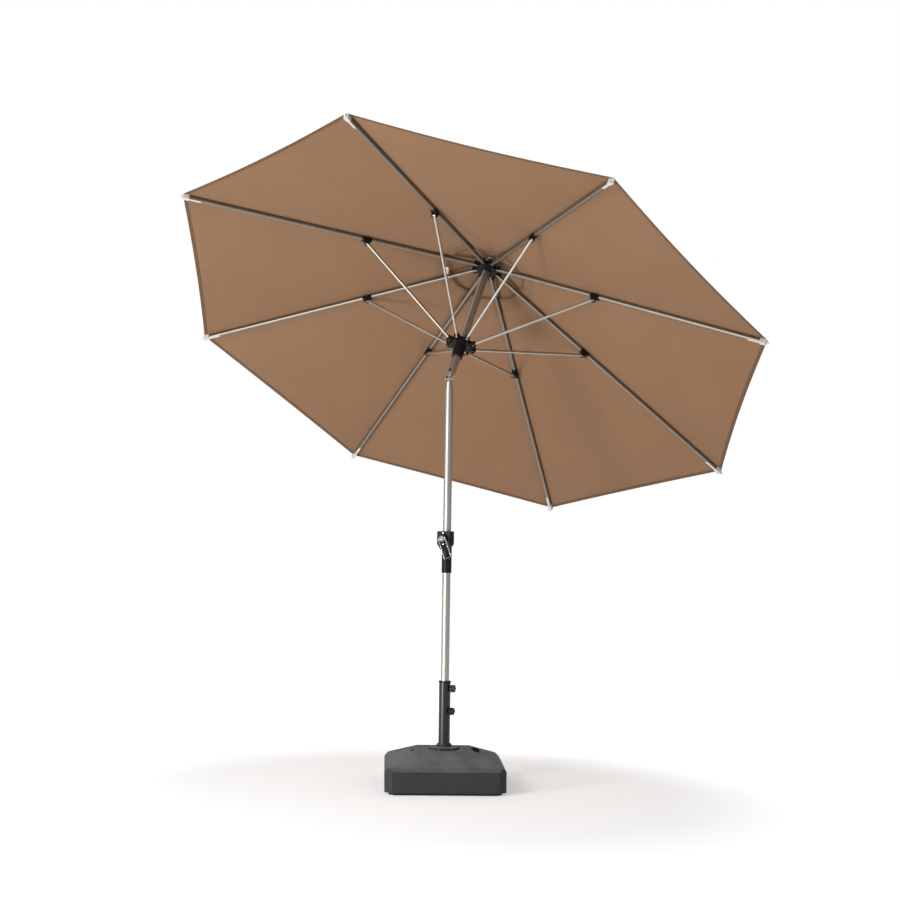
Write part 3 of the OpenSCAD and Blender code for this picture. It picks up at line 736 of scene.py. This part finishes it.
print("normal on a rib's line:", [round(x, 3) for x in skin_normal(1.0, 0.0, MAIN)])

# %% [markdown]
# The canopy is made as eight fields, each centred on a rib and reaching half way to the
# next, because the cloth by a rib follows that rib. A field starts as a flat grid and is
# bent to the surface. Its rows are closer together near the opening, where it is narrow.

# %% One field of cloth
ROWS_CLOSER = 1.25
UV_STEP = 0.37


def field(name, k, r_in, r_out, sag, surface, rows, columns, edge_band):
    """One field of cloth on rib k, round inside and straight outside, with a UV map in metres."""
    to_row = rib_turn(k)
    bm = bmesh.new()
    uv_layer = bm.loops.layers.uv.new("cloth")
    bmesh.ops.create_grid(bm, x_segments=rows, y_segments=2 * columns, size=0.5)
    double = bm.verts.layers.float.new("double")
    beside = bm.verts.layers.float.new("beside_rib")
    flat, normals = {}, []
    for v in bm.verts:
        share = v.co.y * 2
        angle = share * HALF
        edge = edge_radius(r_out, share, sag) * chord(angle)
        r = r_in + (edge - r_in) * (v.co.x + 0.5) ** ROWS_CLOSER
        x, y = r * math.cos(angle), r * math.sin(angle)
        v.co = to_row @ Vector((x, y, skin(r, angle, **surface)))
        v[double] = 1.0 if (edge - r) < edge_band else 0.0
        v[beside] = abs(y)
        flat[v] = (y + k * UV_STEP, x / math.cos(surface["drop"]))
        normals.append(tuple(to_row.to_3x3() @ skin_normal(r, angle, surface)))
    for face in bm.faces:
        face.smooth = True
        for loop in face.loops:
            loop[uv_layer].uv = flat[loop.vert]
    bm.normal_update()
    if bm.faces[:][0].normal.dot(to_row.to_3x3() @ Vector((0, 0, 1))) < 0:
        bmesh.ops.reverse_faces(bm, faces=bm.faces[:])
    piece = new_piece(name, bm, canopy_cloth)
    piece.data.normals_split_custom_set_from_vertices(normals)
    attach(piece, f"rib_body_{k + 1}")
    return piece


# %% [markdown]
# As the runner comes down the ribs swing in, and each field has less room between its
# neighbours. Real cloth slackens. Here each field is only given its own copy of its mesh.

# %% The sixteen fields
VENT_BAND = 0.010


def fold_with_rib(piece):
    """Give a piece of cloth its own copy of its mesh."""
    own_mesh(piece)


sheets = []
for k in range(RIBS):
    main = field(f"cloth_{k + 1}", k, OPENING_R, HEM_R, HEM_SAG, MAIN,
                 rows=46, columns=12, edge_band=0.0)
    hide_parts(f"canopy_{k + 1}")
    flap = field(f"vent_{k + 1}", k, VENT_INNER, VENT_R, VENT_SAG, VENT,
                 rows=16, columns=8, edge_band=VENT_BAND)
    for piece in (main, flap):
        fold_with_rib(piece)
    sheets += [main, flap]
print("cloth pieces:", len(sheets))

# %% [markdown]
# The hem is folded twice and stitched, which makes a firm darker edge. It is a narrow strip
# of its own a little thicker than the cloth, wrapped round the edge. A grid makes it: its
# length follows the edge, its width goes once round the strip's section, and its two long
# sides are welded together. A second strip edges the vent, and a third binds the opening.
# At the opening the darker binding also serves as painted shade for the gap between the
# cloth and the vent flap.

# %% Hems
HEM_STEPS, CORNERS = 24, 5
HEM_NOSE = 0.0012
HEM_WIDTH, VENT_HEM_WIDTH, OPENING_HEM_WIDTH = 0.016, 0.012, 0.012
HEM_HALF_THICK, OPENING_HALF_THICK = 0.0009, 0.0012


def hem_strip(name, k, r_edge, width, half_thick, sag, surface, straight=True):
    """A strip of doubled cloth along one edge of a field, closed all round."""
    to_row = rib_turn(k)
    bm = bmesh.new()
    uv_layer = bm.loops.layers.uv.new("cloth")
    bmesh.ops.create_grid(bm, x_segments=HEM_STEPS, y_segments=CORNERS, size=0.5)
    flat, at = {}, {}
    for v in bm.verts:
        share = v.co.x * 2
        angle = share * HALF
        step, corner = round((v.co.x + 0.5) * HEM_STEPS), round((v.co.y + 0.5) * CORNERS)
        outer = edge_radius(r_edge, share, sag) * (chord(angle) if straight else 1)
        section = ((outer + HEM_NOSE, 0), (outer, half_thick), (outer - width, half_thick),
                   (outer - width, -half_thick), (outer, -half_thick))
        r, lift = section[corner % CORNERS]
        height = skin(r, angle, **surface) + lift
        v.co = to_row @ Vector((r * math.cos(angle), r * math.sin(angle), height))
        flat[v] = (r * math.sin(angle), r + lift)
        at[step, corner] = v
    bmesh.ops.weld_verts(bm, targetmap={at[i, CORNERS]: at[i, 0]
                                        for i in range(HEM_STEPS + 1)})
    bmesh.ops.holes_fill(bm, edges=bm.edges[:], sides=0)
    bmesh.ops.recalc_face_normals(bm, faces=bm.faces[:])
    for face in bm.faces:
        for loop in face.loops:
            loop[uv_layer].uv = flat[loop.vert]
    piece = new_piece(name, bm, hem_cloth_and_gap_shade)
    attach(piece, f"rib_body_{k + 1}")
    fold_with_rib(piece)
    return piece


hems = []
for k in range(RIBS):
    hems.append((
        hem_strip(f"hem_{k + 1}", k, HEM_R, HEM_WIDTH, HEM_HALF_THICK, HEM_SAG, MAIN),
        hem_strip(f"vent_hem_{k + 1}", k, VENT_R, VENT_HEM_WIDTH, HEM_HALF_THICK, VENT_SAG,
                  VENT),
        hem_strip(f"opening_hem_{k + 1}", k, OPENING_R + OPENING_HEM_WIDTH,
                  OPENING_HEM_WIDTH, OPENING_HALF_THICK, 0, MAIN, straight=False)))
print("hem strips:", sum(len(row) for row in hems))

# %% [markdown]
# A pale webbing tongue runs from each end cap back along the underside of the rib, and
# holds the canopy down on it. It is a thin cube with softened edges, laid on the rib.

# %% Rib end tongues
TONGUE_FROM, TONGUE_TO = RIB_LEN - 0.088, RIB_LEN - 0.026
TONGUE_HALF = 0.0055
TONGUE_UNDER, TONGUE_OVER = -RIB_H / 2 - 0.0016, -RIB_H / 2 - 0.0001

low = Vector((TONGUE_FROM, -TONGUE_HALF, TONGUE_UNDER))
high = Vector((TONGUE_TO, TONGUE_HALF, TONGUE_OVER))
for k in range(RIBS):
    bm = bmesh.new()
    bmesh.ops.create_cube(bm, size=1)
    bmesh.ops.scale(bm, verts=bm.verts[:], vec=high - low)
    bmesh.ops.translate(bm, verts=bm.verts[:], vec=(high + low) / 2)
    bmesh.ops.bevel(bm, geom=bm.edges[:], offset=0.0004, segments=2, profile=0.5,
                    affect="EDGES", material=-1)
    bmesh.ops.transform(bm, matrix=rib_frame(k), verts=bm.verts[:])
    bmesh.ops.recalc_face_normals(bm, faces=bm.faces[:])
    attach(new_piece(f"tongue_{k + 1}", bm, pale), f"rib_body_{k + 1}")
print("tongues:", RIBS, "each", round(TONGUE_TO - TONGUE_FROM, 3), "long")

# %% [markdown]
# A small blank care label of white satin ribbon is caught in the hem of the opening, in
# one gore only, and hangs straight down from it with a slight curl. A grid with that curl
# bent into it is enough for a piece this small.

# %% Care label
LABEL_W, LABEL_LEN = 0.025, 0.034
LABEL_FIELD, LABEL_ANGLE = 2, math.radians(20)
LABEL_R = OPENING_R + 0.008
LABEL_GAP = 0.0012
LABEL_SWAY, LABEL_TURNS, LABEL_CUP = 0.0035, 2.4, 0.8

label_top = rib_turn(LABEL_FIELD) @ Vector((
    LABEL_R * math.cos(LABEL_ANGLE), LABEL_R * math.sin(LABEL_ANGLE),
    skin(LABEL_R, LABEL_ANGLE, **MAIN) - LABEL_GAP))
label_side = Vector((0.95, 0.31, 0)).normalized()
label_down = Vector((0, 0, -1))
label_out = label_side.cross(label_down).normalized()
bm = bmesh.new()
bmesh.ops.create_grid(bm, x_segments=8, y_segments=12, size=0.5)
for v in bm.verts:
    across, down = v.co.x * LABEL_W, (0.5 - v.co.y) * LABEL_LEN
    sway = LABEL_SWAY * math.sin(LABEL_TURNS * down / LABEL_LEN)
    cup = LABEL_CUP * across * across / LABEL_W
    v.co = label_top + label_side * across + label_down * down + label_out * (sway + cup)
for face in bm.faces:
    face.smooth = True
bm.normal_update()
label = new_piece("care_label", bm, ribbon)
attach(label, f"rib_body_{LABEL_FIELD + 1}")
fold_with_rib(label)
print("care label at", [round(x, 3) for x in label_top])

# %% [markdown]
# ## The lift cord
# The cord comes over the pulley in the hub and runs down outside the pole to the runner,
# held at both ends all the way, so it is not a free cord. It is a thin tube between the head
# and the runner. A second short length bends across the tilt knuckle. A ring is extruded
# again and again, so that each length can bend.

# %% Cords
CORD_D = 0.0032
CORD_OUT = 0.023
CORD_TOP = HUB_H + 0.0446
BEND_LOW_OUT, BEND_HIGH_OUT = 0.013, 0.011
BEND_BELOW = 0.020


def cord_piece(name, a, b, steps):
    """A round cord between two points, ringed so that it can bend."""
    length = (b - a).length
    bm = bmesh.new()
    bmesh.ops.create_circle(bm, segments=16, radius=CORD_D / 2)
    edges = bm.edges[:]
    for _ in range(steps):
        made = bmesh.ops.extrude_edge_only(bm, edges=edges)["geom"]
        verts = [v for v in made if isinstance(v, bmesh.types.BMVert)]
        edges = [e for e in made if isinstance(e, bmesh.types.BMEdge)]
        bmesh.ops.translate(bm, verts=verts, vec=(0, 0, length / steps))
        edges = [e for e in edges if all(v in verts for v in e.verts)]
    bmesh.ops.holes_fill(bm, edges=bm.edges[:], sides=0)
    bmesh.ops.recalc_face_normals(bm, faces=bm.faces[:])
    place = Matrix.Translation(a) @ (b - a).to_track_quat("Z", "Y").to_matrix().to_4x4()
    bmesh.ops.transform(bm, matrix=place, verts=bm.verts[:])
    for face in bm.faces:
        face.smooth = True
    print(name, "length", round(length, 3))
    return new_piece(name, bm, cord_fibre)


drop_top = HEAD @ Vector((-CORD_OUT, 0, CORD_TOP))
drop_end = HEAD @ Vector((-CORD_OUT, 0, RUNNER_H))
drop = cord_piece("lift_cord", drop_end, drop_top, steps=40)
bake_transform(drop)
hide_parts("cord_drop")

POLE = Matrix.Translation(PIVOT) @ Matrix.Rotation(TILT_DIRECTION, 4, "Z")
bend_low = POLE @ Vector((-BEND_LOW_OUT, 0, -BEND_BELOW))
bend_high = HEAD @ Vector((-BEND_HIGH_OUT, 0, 0.0))
bend = cord_piece("bend_cord", bend_low, bend_high, steps=8)
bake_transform(bend)
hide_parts("cord_bend")

# %% [markdown]
# ## The cloth's cut sizes
# Every field is a stretched sheet that rests on its rib. For each field the loop below picks
# its inner and outer radius, its slope and its hem strips, and works out the width of the
# piece that it is cut from.

# %% Sheets
CUT_EASE = 1.001

for i, piece in enumerate(sheets):
    k, is_vent = divmod(i, 2)
    hem, vent_hem, opening_hem = hems[k]
    if is_vent:
        inner, outer, slope, with_pieces = VENT_INNER, VENT_R, VENT_DROP, [vent_hem]
    else:
        inner, outer, slope, with_pieces = OPENING_R, HEM_R, DROP, [hem, opening_hem]
    width = 2 * outer * math.sin(HALF) * CUT_EASE

# %% [markdown]
# Both boxes, the frame's and the finished model's, are printed at the end. The visual model
# has to keep to the frame's own box.

# %% The two boxes
new_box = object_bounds()


def plain(value):
    """Nested vectors as plain lists of numbers."""
    if isinstance(value, (int, float)):
        return float(value)
    return [plain(v) for v in value]


{"cad": plain(cad_box), "visual": plain(new_box)}
print("frame's box:", plain(cad_box), "finished box:", plain(new_box))
